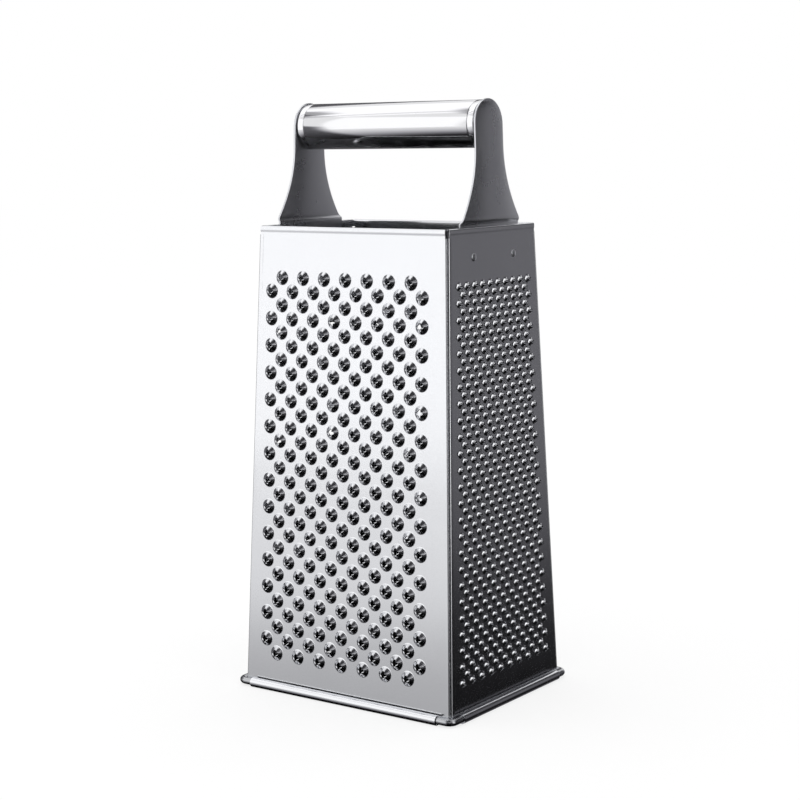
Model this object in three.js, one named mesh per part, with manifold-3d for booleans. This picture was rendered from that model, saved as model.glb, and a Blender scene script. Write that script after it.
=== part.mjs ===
// A four-sided box grater: four pierced sheet-steel panels seamed at the corners, a wire ring
// inside the curled foot, and a tube handle carried by two flat brackets riveted to the narrow sides.
// Millimetres, +Z up. X runs along the wide faces, Y from the front face to the back one, and the
// origin is the middle of the foot on the table.

import * as THREE from "three";
import { mergeVertices } from "three/addons/utils/BufferGeometryUtils.js";
import Module from "manifold-3d";

const wasm = await Module();
wasm.setup();

// Body: the outer faces at the rim and at the foot
const rimHeight = 188;
const topWidth = 91.3;
const topDepth = 62.4;
const baseWidth = 102;
const baseDepth = 80;
const sheetThickness = 0.4;
const fitGap = 0.3;
const foldRoot = 1.5;

// Folded hems along the rim and the upright edges of the wide panels
const hemGap = 0.3;
const rimHemDepth = 3;
const rimHemCut = 0.6;
const edgeHemDepth = 4;
const edgeTopCut = 1;
const seamInset = 0.6;

// Flanges of the narrow panels, which lie behind the edge hems
const flangeLength = 4;
const bendRadius = 1;

// Foot: a wire ring with the panels curled round it, the curls cut short at the corners
const wireDiameter = 2.5;
const wireCornerRadius = 2.9;
const curlCut = 5;
const curlStep = Math.PI / 6;
const curlSteps = 9;

// Handle
const handleRise = 39;
const tubeDiameter = 18.4;
const tubeWall = 0.6;
const tubeEdge = 0.4;
const cupWall = 0.8;
const cupDepth = 6;
const bracketThickness = 0.8;
const bracketMargin = 0.4;
const bracketInset = 0.3;
const bracketFootHalfWidth = 20.4;
const bracketFootDepth = 19;
const bracketFootCorner = 3;
const flareStart = 1.5;
const flareEnd = 31;
const flareControl = 16;
const joggleRun = 2;
const joggleClearance = 0.8;

// Rivets that hold the brackets to the narrow panels
const rivetDrop = 11.3;
const rivetSpacing = 28;
const rivetShankDiameter = 2.4;
const rivetHeadDiameter = 3.6;
const rivetHeadHeight = 0.9;
const rivetTailHeight = 0.7;

// Medium grating face: crown-pierced teeth in staggered rows
const crownTeeth = {
  halfPitch: 5.2,
  fan: 0.45,
  rowPitch: 5.44,
  topMargin: 20.3,
  bottomMargin: 11,
  sideMargin: 8,
  shift: -1.8,
  fullRowsFirst: false,
};
const crownBaseRadius = 2.75;
const crownRadius = 1.35;
const crownTipHeight = 1.6;
const crownValleyHeight = 1.1;
const crownBackRadius = 2.3;

// Fine grating face: small sharp points whose columns spread with the taper
const fineTeeth = {
  halfPitch: 2.59,
  fan: 1.15,
  rowPitch: 3.16,
  topMargin: 21.85,
  bottomMargin: 13,
  sideMargin: 7,
  shift: -0.4,
  fullRowsFirst: true,
};
const fineBaseRadius = 1.75;
const fineHeight = 1.1;

// Coarse shredding face: large holes, each with a raised cutting lip at its lower side
const coarseTeeth = {
  halfPitch: 8.4,
  fan: 0.45,
  rowPitch: 18,
  topMargin: 27.3,
  bottomMargin: 18,
  sideMargin: 8,
  shift: -1,
  fullRowsFirst: false,
};
const coarseHalfWidth = 4.7;
const coarseHalfHeight = 3.7;
const coarseLipInset = 1.2;
const coarseBackInset = 0.6;
const coarseLipHeight = 2.6;
const coarseUpperHeight = 0.4;

// Slicing face: wide slots, each with an arched blade at its lower side
const slotPitch = 46;
const slotTopMargin = 46;
const slotBottomMargin = 24;
const slotHalfWidth = 21;
const slotHalfHeight = 4.2;
const slotEdge = 1.2;
const slotBackInset = 0.5;
const bladeHeight = 2.2;
const slotUpperHeight = 0.4;
const bladeArch = 0.5;

// Steps of the round forms
const tubeSegments = 28;
const cupSegments = 20;
const rivetSegments = 8;
const wireSides = 8;
const wireCornerSteps = 4;
const foldSteps = 3;
const bendSteps = 3;
const bracketSteps = 5;

// Finishes of the steel
const finish = {
  wideSheet: { color: 0xd9dadc, roughness: 0.25 },
  narrowSheet: { color: 0xb9bbbe, roughness: 0.25 },
  wire: { color: 0x8e9094, roughness: 0.35 },
  tube: { color: 0xe2e3e5, roughness: 0.2 },
  strip: { color: 0x9a9ca0, roughness: 0.35 },
  rivet: { color: 0xa4a6a9, roughness: 0.35 },
};

// Points closer than this are one point
const weldDistance = 1e-4;

// Values that follow from the sizes above
const hemThickness = 2 * sheetThickness + hemGap;
const hemRadius = hemThickness / 2;
const seamSetback = hemThickness + fitGap;
const wireRadius = wireDiameter / 2;
const curlInnerRadius = wireRadius + fitGap;
const curlOuterRadius = curlInnerRadius + sheetThickness;
const wireHeight = curlOuterRadius * Math.cos(curlStep / 2);
const handleHeight = rimHeight + handleRise;
const bracketTopRadius = tubeDiameter / 2 + bracketMargin;
const rivetHeight = rimHeight - rivetDrop;
const rivetHoleRadius = rivetShankDiameter / 2 + fitGap;
const drillLength = 4 * hemThickness;
const bracketSeat = sheetThickness + fitGap;

// Half sizes of the tapered body at a height
const taper = (top, base) => (z) => (top + ((base - top) * (rimHeight - z)) / (rimHeight - wireHeight)) / 2;
const halfWidth = taper(topWidth, baseWidth);
const halfDepth = taper(topDepth, baseDepth);

// Solids and meshes

// A closed indexed geometry from points and triangles, turned so that its faces point outwards.
function closedGeometry(points, triangles) {
  const volume = triangles.reduce((sum, [a, b, c]) => {
    return sum + points[a].dot(new THREE.Vector3().crossVectors(points[b], points[c]));
  }, 0);
  const order = volume < 0 ? triangles.map(([a, b, c]) => [a, c, b]) : triangles;
  const geometry = new THREE.BufferGeometry().setFromPoints(points);
  geometry.setIndex(order.flat());
  return geometry;
}

// The same geometry with its shared points joined
function welded(geometry) {
  const bare = geometry.clone();
  bare.deleteAttribute("normal");
  bare.deleteAttribute("uv");
  return mergeVertices(bare, weldDistance);
}

function toSolid(geometry) {
  const merged = welded(geometry);
  const vertProperties = new Float32Array(merged.attributes.position.array);
  const triVerts = new Uint32Array(merged.index.array);
  return new wasm.Manifold(new wasm.Mesh({ numProp: 3, vertProperties, triVerts }));
}

function toGeometry(solid) {
  const { vertProperties, triVerts } = solid.getMesh();
  const geometry = new THREE.BufferGeometry();
  geometry.setAttribute("position", new THREE.BufferAttribute(vertProperties, 3));
  geometry.setIndex(new THREE.BufferAttribute(triVerts, 1));
  geometry.computeVertexNormals();
  return geometry;
}

// A skin through rings of points. Open lofts are capped with the triangles of their section.
function loft(rings, section = null) {
  const count = rings[0].length;
  const spans = section ? rings.length - 1 : rings.length;
  const triangles = [];
  for (let ring = 0; ring < spans; ring += 1) {
    const here = ring * count;
    const next = ((ring + 1) % rings.length) * count;
    for (let i = 0; i < count; i += 1) {
      const j = (i + 1) % count;
      triangles.push([here + i, here + j, next + j], [here + i, next + j, next + i]);
    }
  }
  if (section) {
    const last = (rings.length - 1) * count;
    const lower = THREE.ShapeUtils.isClockWise(section);
    for (const [a, b, c] of THREE.ShapeUtils.triangulateShape(section, [])) {
      const flat = [section[a], section[b], section[c]];
      const cap = THREE.ShapeUtils.isClockWise(flat) === lower ? [a, b, c] : [a, c, b];
      triangles.push([cap[0], cap[2], cap[1]], cap.map((i) => last + i));
    }
  }
  return closedGeometry(rings.flat(), triangles);
}

// A named steel mesh in one of the finishes
function named(name, geometry, surface) {
  const mesh = new THREE.Mesh(geometry, new THREE.MeshStandardMaterial({ ...surface, metalness: 1 }));
  mesh.name = name;
  return mesh;
}

// Points of an arc about a centre, both ends included
function arc(centreX, centreY, radius, from, to, steps) {
  const curve = new THREE.EllipseCurve(centreX, centreY, radius, radius, from, to, to < from);
  return curve.getPoints(steps);
}

// Tooth patterns, in the plane of a face: s across it, z up

// Rows of tooth centres. Every second row is shifted by half a pitch and has one tooth less.
function staggeredCentres(field, faceHalfWidth) {
  const rimSpan = 2 * faceHalfWidth(rimHeight);
  const columns = Math.floor((rimSpan - 2 * field.sideMargin) / (2 * field.halfPitch)) + 1;
  const firstRow = rimHeight - field.topMargin;
  const rows = Math.floor((firstRow - field.bottomMargin) / field.rowPitch) + 1;
  return Array.from({ length: rows }, (_, row) => {
    const z = firstRow - row * field.rowPitch;
    const spread = 1 + field.fan * ((2 * faceHalfWidth(z)) / rimSpan - 1);
    const inRow = field.fullRowsFirst === (row % 2 === 0) ? columns : columns - 1;
    return Array.from({ length: inRow }, (_unused, i) => {
      return [field.shift + (2 * i - (inRow - 1)) * field.halfPitch * spread, z];
    });
  });
}

// A ring of points about a centre; point(angle, i) gives [across, up, height] of corner i
function ring(count, [s, z], point) {
  return Array.from({ length: count }, (_, i) => {
    const [across, up, height = 0] = point((2 * Math.PI * i) / count, i);
    return { s: s + across, z: z + up, height };
  });
}

const ellipse = (a, b) => (angle) => [a * Math.cos(angle), b * Math.sin(angle)];

// A burst crown: a cone pierced through, whose four petals end in two tips and two valleys.
function crownTooth(centre) {
  const corners = 4;
  return {
    base: ring(corners, centre, ellipse(crownBaseRadius, crownBaseRadius)),
    crown: ring(corners, centre, (angle, i) => {
      const height = i % 2 ? crownTipHeight : crownValleyHeight;
      return [...ellipse(crownRadius, crownRadius)(angle), height];
    }),
    back: ring(corners, centre, ellipse(crownBackRadius, crownBackRadius)),
  };
}

// A small four-sided point raised from the sheet
function fineTooth([s, z]) {
  const corners = 4;
  return {
    base: ring(corners, [s, z], ellipse(fineBaseRadius, fineBaseRadius)),
    point: { s, z, height: fineHeight },
  };
}

// A hole with a rim that rises towards its lower side, where the cutting lip stands.
function coarseTooth(centre) {
  const corners = 8;
  const inset = (edge) => ellipse(coarseHalfWidth - edge, coarseHalfHeight - edge);
  return {
    base: ring(corners, centre, inset(0)),
    crown: ring(corners, centre, (angle) => {
      const rise = (1 - Math.sin(angle)) / 2;
      return [...inset(coarseLipInset)(angle), coarseUpperHeight + coarseLipHeight * rise];
    }),
    back: ring(corners, centre, inset(coarseBackInset)),
  };
}

// A wide slot: four points along the arched blade below it, two along its plain upper edge.
function slicingSlot(centre) {
  const across = [1, -1, -1, -bladeArch, bladeArch, 1];
  const up = [1, 1, -bladeArch, -1, -1, -bladeArch];
  const arch = [0, 0, 0, 1, 1, 0];
  const inset = (edge) => (_, i) => [across[i] * (slotHalfWidth - edge), up[i] * (slotHalfHeight - edge)];
  return {
    base: ring(across.length, centre, inset(0)),
    crown: ring(across.length, centre, (angle, i) => {
      return [...inset(slotEdge)(angle, i), slotUpperHeight + bladeHeight * arch[i]];
    }),
    back: ring(across.length, centre, inset(slotBackInset)),
  };
}

// Panels, in the frame of the front face: s along X, the outer face at distance face(z) before the middle

// The flat faces between the teeth of staggered rows. Each tooth ring starts at its right corner and
// runs anticlockwise in four equal arcs. A strip joins the facing arcs of each pair of diagonal
// neighbours, and a four-cornered face fills the middle of every four teeth.
function facesBetween(rows) {
  const faces = [];
  // Index, in a neighbouring row, of the tooth half a pitch to the right
  const rightOf = (row, other, i) => i + (other.length > row.length ? 1 : 0);
  rows.forEach((row, r) => {
    const upper = rows[r - 1] ?? [];
    const lower = rows[r + 1] ?? [];
    row.forEach((tooth, i) => {
      const arcLength = tooth.length / 4;
      const corner = (loop, quarter, k = 0) => loop[(quarter * arcLength + k) % loop.length];
      const below = rightOf(row, lower, i);
      const rightBelow = lower[below];
      const leftBelow = lower[below - 1];
      for (let k = 0; k < arcLength; k += 1) {
        if (rightBelow) {
          faces.push([
            corner(tooth, 3, k), corner(rightBelow, 2, -k),
            corner(rightBelow, 2, -k - 1), corner(tooth, 3, k + 1),
          ]);
        }
        if (leftBelow) {
          faces.push([
            corner(tooth, 2, k), corner(leftBelow, 1, -k),
            corner(leftBelow, 1, -k - 1), corner(tooth, 2, k + 1),
          ]);
        }
      }
      const beside = row[i + 1];
      const over = upper[rightOf(row, upper, i)];
      if (beside && over && rightBelow) {
        faces.push([corner(tooth, 0), corner(rightBelow, 1), corner(beside, 2), corner(over, 3)]);
      }
    });
  });
  return faces;
}

// The loops left when the edges that two faces share are taken away
function borderLoops(faces) {
  const next = new Map();
  for (const face of faces) {
    face.forEach((from, i) => {
      const to = face[(i + 1) % face.length];
      if (next.get(to)?.delete(from)) {
        return;
      }
      next.set(from, (next.get(from) ?? new Set()).add(to));
    });
  }
  const loops = [];
  for (const [start, ends] of next) {
    let [here] = ends;
    if (here === undefined) {
      continue;
    }
    const loop = [start];
    ends.clear();
    while (here !== start) {
      loop.push(here);
      const [following] = next.get(here);
      next.get(here).clear();
      here = following;
    }
    loops.push(loop);
  }
  return loops;
}

// The flat sheet of a panel with its rows of teeth: a front skin and a back skin with a hole for each
// tooth, joined by the tooth walls and by the sheet's own edge.
function piercedSheet(outline, rows, staggered, at) {
  const points = [];
  const flat = [];
  const triangles = [];
  const add = (list, depth) => {
    return list.map(({ s, z, height = 0 }) => {
      flat.push(new THREE.Vector2(s, z));
      return points.push(at(s, depth - height, z)) - 1;
    });
  };
  const skin = (ringRows, depth, outward) => {
    const rim = add(outline, depth);
    const idRows = ringRows.map((row) => row.map((loop) => add(loop, depth)));
    const between = staggered ? facesBetween(idRows) : [];
    const loops = borderLoops([...idRows.flat(), ...between]);
    const all = [...rim, ...loops.flat()];
    const plane = (ids) => ids.map((id) => flat[id]);
    const margin = THREE.ShapeUtils.triangulateShape(plane(rim), loops.map(plane));
    const marginArea = margin.reduce((sum, triangle) => {
      return sum + THREE.ShapeUtils.area(plane(triangle.map((i) => all[i])));
    }, 0);
    const anticlockwise = [
      ...margin.map((triangle) => triangle.map((i) => all[i])).map(([a, b, c]) => {
        return marginArea > 0 ? [a, b, c] : [a, c, b];
      }),
      ...between.flatMap(([a, b, c, d]) => [[a, b, c], [a, c, d]]),
    ];
    triangles.push(...anticlockwise.map(([a, b, c]) => (outward ? [a, b, c] : [a, c, b])));
    return [rim, idRows.flat()];
  };
  const wall = (lower, upper) => {
    lower.forEach((a, i) => {
      const next = (i + 1) % lower.length;
      triangles.push([a, lower[next], upper[next]], [a, upper[next], upper[i]]);
    });
  };
  const pierced = rows.map((row) => row.filter((tooth) => tooth.crown));
  const [frontRim, bases] = skin(rows.map((row) => row.map((tooth) => tooth.base)), 0, true);
  const [backRim, backs] = skin(pierced.map((row) => row.map((tooth) => tooth.back)), sheetThickness, false);
  wall(backRim, frontRim);
  rows.flat().forEach((tooth, i) => {
    if (tooth.crown) {
      const crown = add(tooth.crown, 0);
      wall(bases[i], crown);
      wall(crown, backs[i]);
    } else {
      const [point] = add([tooth.point], 0);
      bases[i].forEach((a, k) => triangles.push([a, bases[i][(k + 1) % bases[i].length], point]));
    }
  });
  return closedGeometry(points, triangles);
}

// Section of a folded hem: out along the sheet, round the fold and back along the return leg.
// "along" runs towards the fold and "depth" into the body; the fold's outermost point is at along 0.
function hemSection(returnLength, root) {
  const start = -hemRadius;
  const outer = arc(start, hemRadius, hemRadius, -Math.PI / 2, Math.PI / 2, foldSteps);
  const inner = arc(start, hemRadius, hemGap / 2, Math.PI / 2, -Math.PI / 2, foldSteps);
  const legEnd = -returnLength;
  return [
    new THREE.Vector2(start - root, 0),
    ...outer,
    new THREE.Vector2(legEnd, hemThickness),
    new THREE.Vector2(legEnd, sheetThickness + hemGap),
    ...inner,
    new THREE.Vector2(start - root, sheetThickness),
  ];
}

// Section of a square flange with a rounded bend; the flange's outer side is at along 0.
function flangeSection(root) {
  const outer = arc(-bendRadius, bendRadius, bendRadius, -Math.PI / 2, 0, bendSteps);
  const inner = arc(-bendRadius, bendRadius, bendRadius - sheetThickness, 0, -Math.PI / 2, bendSteps);
  return [
    new THREE.Vector2(-bendRadius - root, 0),
    ...outer,
    new THREE.Vector2(0, flangeLength),
    new THREE.Vector2(-sheetThickness, flangeLength),
    ...inner,
    new THREE.Vector2(-bendRadius - root, sheetThickness),
  ];
}

// Section of the foot's curl, as distance from the body's middle plane and height: down the sheet,
// round below the wire and up over it, ending short of the sheet. Its lowest facet is level.
function curlSection(face) {
  const centre = face(wireHeight) + curlInnerRadius;
  const angles = [Math.PI];
  for (let i = 0; i <= curlSteps; i += 1) {
    angles.push(Math.PI + (i + 0.5) * curlStep);
  }
  const on = (radius) => (angle) => {
    return new THREE.Vector2(centre + radius * Math.cos(angle), wireHeight + radius * Math.sin(angle));
  };
  const top = wireHeight + foldRoot;
  return [
    new THREE.Vector2(face(top), top),
    ...angles.map(on(curlInnerRadius)),
    ...angles.reverse().map(on(curlOuterRadius)),
    new THREE.Vector2(face(top) - sheetThickness, top),
  ];
}

// A panel: the pierced sheet with its rim hem, its foot curl and an edge strip on each side.
// edge gives the strip's section, where its outermost line lies at a height, and where its round begins.
function panel({ face, halfSpan, edge, rows, staggered, holes = [] }) {
  const at = (s, depth, z) => new THREE.Vector3(s, depth - face(z), z);
  const sheetTop = rimHeight - hemRadius;
  const sheetEdge = (z) => edge.line(z) - edge.round;
  const corner = (side, z) => ({ s: side * sheetEdge(z), z });
  const outline = [
    corner(-1, wireHeight),
    corner(1, wireHeight),
    corner(1, sheetTop),
    corner(-1, sheetTop),
  ];
  let solid = toSolid(piercedSheet(outline, rows, staggered, at));

  const edgeTop = rimHeight - edgeTopCut;
  for (const side of [-1, 1]) {
    const rings = [wireHeight, edgeTop].map((z) => {
      return edge.section.map(({ x, y }) => at(side * (edge.line(z) + x), y, z));
    });
    solid = solid.add(toSolid(loft(rings, edge.section)));
  }

  const hem = hemSection(rimHemDepth, foldRoot);
  const hemEnd = edge.line(rimHeight) - rimHemCut;
  const hemRings = [-hemEnd, hemEnd].map((s) => hem.map(({ x, y }) => at(s, y, rimHeight + x)));
  solid = solid.add(toSolid(loft(hemRings, hem)));

  const curl = curlSection(face);
  const curlEnd = halfSpan(wireHeight) - curlCut;
  const curlRings = [-curlEnd, curlEnd].map((s) => curl.map(({ x, y }) => new THREE.Vector3(s, -x, y)));
  solid = solid.add(toSolid(loft(curlRings, curl)));

  for (const { s, z, radius } of holes) {
    const drill = new THREE.CylinderGeometry(radius, radius, drillLength, rivetSegments);
    drill.translate(s, -face(z), z);
    solid = solid.subtract(toSolid(drill));
  }
  return toGeometry(solid);
}

// Wide panels have folded edge hems; narrow panels have flanges that lie behind those hems.
const hemmedEdge = {
  section: hemSection(edgeHemDepth, foldRoot),
  line: (z) => halfWidth(z) - seamInset,
  round: hemRadius,
};
const flangedEdge = {
  section: flangeSection(foldRoot),
  line: (z) => halfDepth(z) - seamSetback,
  round: bendRadius,
};
const rivetHoles = [-1, 1].map((side) => {
  return { s: (side * rivetSpacing) / 2, z: rivetHeight, radius: rivetHoleRadius };
});

// The slicing slots, one to a row
function slotRows() {
  const first = rimHeight - slotTopMargin;
  const count = Math.floor((first - slotBottomMargin) / slotPitch) + 1;
  return Array.from({ length: count }, (_, i) => [slicingSlot([0, first - i * slotPitch])]);
}

// Staggered rows of one kind of tooth
function toothRows(field, faceHalfWidth, tooth) {
  return staggeredCentres(field, faceHalfWidth).map((row) => row.map(tooth));
}

const widePanel = { face: halfDepth, halfSpan: halfWidth, edge: hemmedEdge, staggered: true };
const narrowPanel = { face: halfWidth, halfSpan: halfDepth, edge: flangedEdge, holes: rivetHoles };

const frontPanel = named(
  "front_panel",
  panel({ ...widePanel, rows: toothRows(crownTeeth, halfWidth, crownTooth) }),
  finish.wideSheet,
);
const backPanel = named(
  "back_panel",
  panel({ ...widePanel, rows: toothRows(coarseTeeth, halfWidth, coarseTooth) }),
  finish.wideSheet,
);
const rightPanel = named(
  "right_panel",
  panel({ ...narrowPanel, staggered: true, rows: toothRows(fineTeeth, halfDepth, fineTooth) }),
  finish.narrowSheet,
);
const leftPanel = named(
  "left_panel",
  panel({ ...narrowPanel, staggered: false, rows: slotRows() }),
  finish.narrowSheet,
);

backPanel.rotation.z = Math.PI;
rightPanel.rotation.z = Math.PI / 2;
leftPanel.rotation.z = -Math.PI / 2;

// The wire ring: a round section carried round a rectangle with rounded corners.
function wireRing() {
  const a = halfWidth(wireHeight) + curlInnerRadius;
  const b = halfDepth(wireHeight) + curlInnerRadius;
  const turns = [
    [a, b],
    [-a, b],
    [-a, -b],
    [a, -b],
  ];
  const rings = turns.flatMap(([x, y], turn) => {
    const centre = new THREE.Vector2(x, y).sub(
      new THREE.Vector2(Math.sign(x), Math.sign(y)).multiplyScalar(wireCornerRadius),
    );
    return Array.from({ length: wireCornerSteps + 1 }, (_, step) => {
      const angle = (turn + step / wireCornerSteps) * (Math.PI / 2);
      return arc(0, 0, wireRadius, 0, 2 * Math.PI, wireSides)
        .slice(1)
        .map((point) => {
          const reach = wireCornerRadius + point.x;
          return new THREE.Vector3(
            centre.x + reach * Math.cos(angle),
            centre.y + reach * Math.sin(angle),
            wireHeight + point.y,
          );
        });
    });
  });
  return loft(rings);
}

const rimWire = named("rim_wire", wireRing(), finish.wire);

// Brackets: a flat outline with a round head and a flared foot, joggled round the rim hem.
function bracketOutline() {
  const neck = bracketTopRadius;
  const foot = bracketFootHalfWidth;
  const bottom = rimHeight - bracketFootDepth;
  const shape = new THREE.Shape();
  shape.moveTo(-foot + bracketFootCorner, bottom);
  shape.lineTo(foot - bracketFootCorner, bottom);
  shape.absarc(foot - bracketFootCorner, bottom + bracketFootCorner, bracketFootCorner, -Math.PI / 2, 0);
  shape.lineTo(foot, rimHeight + flareStart);
  shape.quadraticCurveTo(neck, rimHeight + flareControl, neck, rimHeight + flareEnd);
  shape.absarc(0, handleHeight, neck, 0, Math.PI);
  shape.lineTo(-neck, rimHeight + flareEnd);
  shape.quadraticCurveTo(-neck, rimHeight + flareControl, -foot, rimHeight + flareStart);
  shape.lineTo(-foot, bottom + bracketFootCorner);
  shape.absarc(
    -foot + bracketFootCorner, bottom + bracketFootCorner, bracketFootCorner, Math.PI, 1.5 * Math.PI,
  );
  for (const side of [-1, 1]) {
    const hole = new THREE.Path();
    hole.absarc((side * rivetSpacing) / 2, rivetHeight, rivetHoleRadius, 0, 2 * Math.PI);
    shape.holes.push(hole);
  }
  return shape;
}

// The bracket from the side: seated on the panel below the hem, stepped inwards past it,
// then back out over the rim. Each entry is a height and a depth behind the panel's outer plane.
function bracketBends() {
  const passing = hemThickness + fitGap;
  const hemBottom = rimHeight - rimHemDepth - joggleClearance;
  const overRim = rimHeight + joggleClearance;
  return [
    [rimHeight - bracketFootDepth - joggleRun, bracketSeat],
    [hemBottom - joggleRun, bracketSeat],
    [hemBottom, passing],
    [overRim, passing],
    [overRim + joggleRun, bracketInset],
    [handleHeight + bracketTopRadius + joggleRun, bracketInset],
  ];
}

function bracket() {
  const reach = 2 * bracketFootHalfWidth;
  const outline = new THREE.ExtrudeGeometry(bracketOutline(), {
    depth: topWidth, bevelEnabled: false, curveSegments: bracketSteps,
  });
  const acrossX = new THREE.Matrix4().makeBasis(
    new THREE.Vector3(0, 1, 0), new THREE.Vector3(0, 0, 1), new THREE.Vector3(1, 0, 0),
  );
  outline.applyMatrix4(acrossX);

  const outer = bracketBends().map(([z, depth]) => new THREE.Vector2(halfWidth(z) - depth, z));
  const inner = outer.map(({ x, y }) => new THREE.Vector2(x - bracketThickness, y));
  const section = [...outer, ...inner.reverse()];
  const rings = [-reach, reach].map((y) => section.map((point) => new THREE.Vector3(point.x, y, point.y)));
  return toGeometry(toSolid(outline).intersect(toSolid(loft(rings, section))));
}

// The tube stops short of the leaning brackets at its top, where they come closest.
const tubeHalfLength =
  halfWidth(handleHeight + tubeDiameter / 2) - bracketInset - bracketThickness - fitGap;
const tubeInnerRadius = tubeDiameter / 2 - tubeWall;

// A turned piece whose profile is [radius, distance along X]
function turnedAlongX(profile, segments, turn = -Math.PI / 2) {
  const points = profile.map(([radius, along]) => new THREE.Vector2(radius, along));
  const lathe = new THREE.LatheGeometry(points, segments);
  lathe.rotateZ(turn);
  return toGeometry(toSolid(outwards(lathe)));
}

// A lathe's faces point in or out with the direction of its profile; this makes them point out.
function outwards(lathe) {
  const merged = welded(lathe);
  const { position } = merged.attributes;
  const points = Array.from({ length: position.count }, (_, i) => {
    return new THREE.Vector3().fromBufferAttribute(position, i);
  });
  const triangles = [];
  for (let i = 0; i < merged.index.count; i += 3) {
    const triangle = [0, 1, 2].map((k) => merged.index.getX(i + k));
    if (new Set(triangle).size === 3) {
      triangles.push(triangle);
    }
  }
  return closedGeometry(points, triangles);
}

function handleTube() {
  const end = tubeHalfLength;
  const radius = tubeDiameter / 2;
  const profile = [
    [tubeInnerRadius, -end],
    [radius - tubeEdge, -end],
    [radius, -end + tubeEdge],
    [radius, end - tubeEdge],
    [radius - tubeEdge, end],
    [tubeInnerRadius, end],
    [tubeInnerRadius, -end],
  ];
  return turnedAlongX(profile, tubeSegments);
}

// A shallow cup pressed into each tube end, flush with it, that joins the tube to its bracket
function tubeCup() {
  const radius = tubeInnerRadius - fitGap;
  const end = tubeHalfLength;
  const profile = [
    [0, end],
    [radius, end],
    [radius, end - cupDepth],
    [radius - cupWall, end - cupDepth],
    [radius - cupWall, end - cupWall],
    [0, end - cupWall],
  ];
  return turnedAlongX(profile, cupSegments);
}

// A rivet with a domed head outside the panel and a flat tail behind the bracket.
// Its profile is [radius, depth behind the panel's outer face].
function rivet() {
  const headRadius = rivetHeadDiameter / 2;
  const shankRadius = rivetShankDiameter / 2;
  const tail = bracketSeat + bracketThickness + fitGap;
  const profile = [
    [0, -fitGap - rivetHeadHeight],
    [headRadius * Math.sin(Math.PI / 4), -fitGap - rivetHeadHeight * Math.cos(Math.PI / 4)],
    [headRadius, -fitGap],
    [shankRadius, -fitGap],
    [shankRadius, tail],
    [headRadius, tail],
    [headRadius, tail + rivetTailHeight],
    [0, tail + rivetTailHeight],
  ];
  return turnedAlongX(profile, rivetSegments, Math.PI / 2);
}

// What the right side carries; the left side is the same turned half round.
function handleSide(name) {
  const side = new THREE.Group();
  side.add(named(`handle_bracket_${name}`, bracket(), finish.strip));
  const cup = named(`tube_cup_${name}`, tubeCup(), finish.strip);
  cup.position.z = handleHeight;
  side.add(cup);
  for (const [place, y] of [["a", -rivetSpacing / 2], ["b", rivetSpacing / 2]]) {
    const mesh = named(`bracket_rivet_${name}_${place}`, rivet(), finish.rivet);
    mesh.position.set(halfWidth(rivetHeight), y, rivetHeight);
    side.add(mesh);
  }
  return side;
}

const handleSides = ["right", "left"].map(handleSide);
handleSides[1].rotation.z = Math.PI;
const tube = named("handle_tube", handleTube(), finish.tube);
tube.position.z = handleHeight;

const grater = new THREE.Group();
grater.add(frontPanel, rightPanel, backPanel, leftPanel, rimWire, tube, ...handleSides);

export default grater;
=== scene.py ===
"""Looks of a four-sided stainless box grater with a tube handle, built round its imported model."""

import math

import bpy
import numpy as np
from mathutils import Matrix


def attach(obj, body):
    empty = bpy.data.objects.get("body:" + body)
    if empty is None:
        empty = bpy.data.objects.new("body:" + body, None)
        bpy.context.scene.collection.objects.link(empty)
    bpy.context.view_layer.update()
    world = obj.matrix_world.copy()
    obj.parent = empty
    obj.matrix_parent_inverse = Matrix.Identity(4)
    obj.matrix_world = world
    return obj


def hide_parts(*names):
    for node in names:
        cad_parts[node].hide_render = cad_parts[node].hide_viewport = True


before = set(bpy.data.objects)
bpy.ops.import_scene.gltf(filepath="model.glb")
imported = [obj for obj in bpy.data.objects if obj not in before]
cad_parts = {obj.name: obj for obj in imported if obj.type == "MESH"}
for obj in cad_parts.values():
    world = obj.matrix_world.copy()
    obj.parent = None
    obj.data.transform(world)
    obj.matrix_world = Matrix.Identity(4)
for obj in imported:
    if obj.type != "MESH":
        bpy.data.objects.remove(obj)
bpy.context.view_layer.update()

bl_info = {
    "name": "Box grater",
    "version": (1, 0, 0),
    "blender": (4, 5, 0),
    "location": "View3D > Sidebar > Grater",
    "description": "Builds a stainless box grater from swept profiles and rings of teeth",
    "category": "Add Mesh",
}

MM = 0.001

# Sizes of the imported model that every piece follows
RIM_HEIGHT = 188 * MM
TOP_WIDTH, TOP_DEPTH = 91.3 * MM, 62.4 * MM
BASE_WIDTH, BASE_DEPTH = 102 * MM, 80 * MM
SHEET = 0.4 * MM
FIT_GAP = 0.3 * MM
HEM_GAP = 0.3 * MM
HEM_THICKNESS = 2 * SHEET + HEM_GAP
EDGE_GAP = 0.06 * MM
EDGE_HEM_DEPTH = 4 * MM
SEAM_INSET = 0.6 * MM
SEAM_SETBACK = 2 * SHEET + EDGE_GAP + 0.12 * MM
BEND_RADIUS = 1 * MM
FLANGE_LENGTH = 4 * MM
FLAT_LEAD = 1.5 * MM
RIM_LEAD = 3.5 * MM
CORNER_NOTCH = 0.35 * MM
WIRE_RADIUS = 1.25 * MM
WIRE_SKIN = 1.4 * MM
WIRE_CORNER = 2.9 * MM
CURL_INNER = WIRE_RADIUS + FIT_GAP
CURL_OUTER = CURL_INNER + SHEET
CURL_CUT = 5 * MM
WIRE_HEIGHT = CURL_OUTER * math.cos(math.radians(15))
HANDLE_HEIGHT = RIM_HEIGHT + 39 * MM
TUBE_RADIUS = 9.2 * MM
TUBE_WALL = 0.6 * MM
BRACKET_THICKNESS = 0.8 * MM
BRACKET_INSET = 0.3 * MM
BRACKET_SEAT = SHEET + FIT_GAP
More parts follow.
